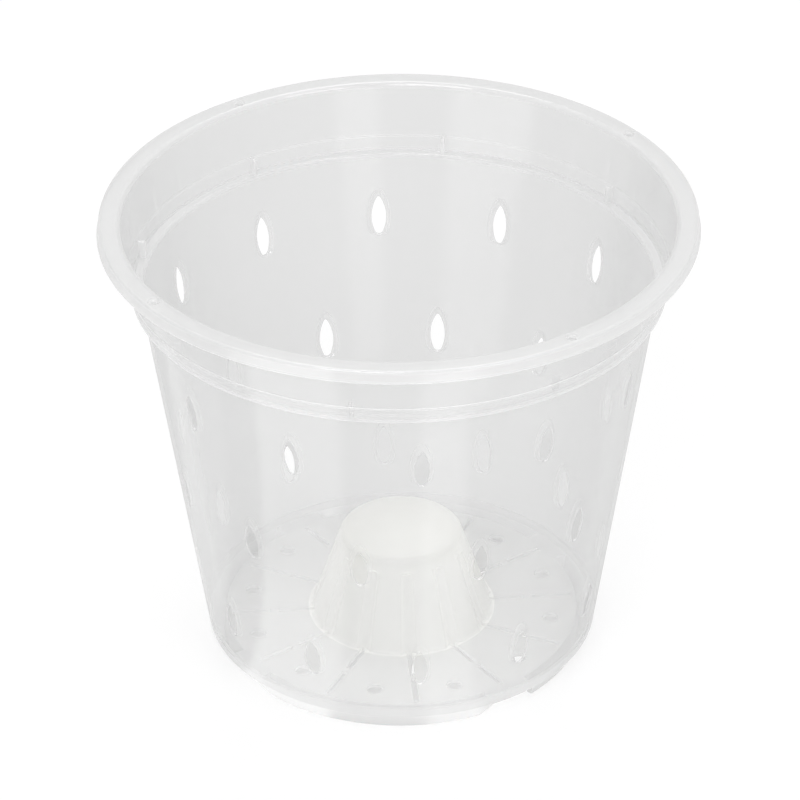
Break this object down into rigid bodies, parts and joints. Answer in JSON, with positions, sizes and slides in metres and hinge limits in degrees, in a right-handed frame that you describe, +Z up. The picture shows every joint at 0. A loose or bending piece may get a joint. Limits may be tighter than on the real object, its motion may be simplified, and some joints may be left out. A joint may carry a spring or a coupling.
{
  "type": "orchid pot",
  "caption": "Round tapered clear plastic orchid pot with slotted side walls, a perforated floor, a hollow fluted centre cone and a down-turned rim.",
  "frame": {"origin": "centre of the circle that the feet stand on, at ground level", "axes": "+Z up along the pot's axis; -Y towards one gap between the feet and one rim hole, +X towards the next; the picture is taken from about 35 degrees to the left of -Y"},
  "size_m": [0.14, 0.14, 0.114],
  "materials": {
    "clear_plastic": "clear, slightly milky, as moulded",
    "cone_plastic": "milky translucent, as moulded"
  },
  "bodies": {
    "root": {"rim_flange": "clear_plastic", "rim_skirt": "clear_plastic", "collar": "clear_plastic", "stacking_ledge": "clear_plastic", "wall_upper_band": "clear_plastic", "wall_middle_band": "clear_plastic", "wall_lower_band": "clear_plastic", "heel_ring": "clear_plastic", "floor_plate": "clear_plastic", "cone_flank": "cone_plastic", "cone_cap": "cone_plastic", "stacking_lug_1": "clear_plastic", "stacking_lug_2": "clear_plastic", "stacking_lug_3": "clear_plastic", "stacking_lug_4": "clear_plastic", "stacking_lug_5": "clear_plastic", "stacking_lug_6": "clear_plastic", "stacking_lug_7": "clear_plastic", "stacking_lug_8": "clear_plastic", "foot_segment_1": "clear_plastic", "foot_segment_2": "clear_plastic", "foot_segment_3": "clear_plastic", "foot_segment_4": "clear_plastic"}
  },
  "joints": []
}
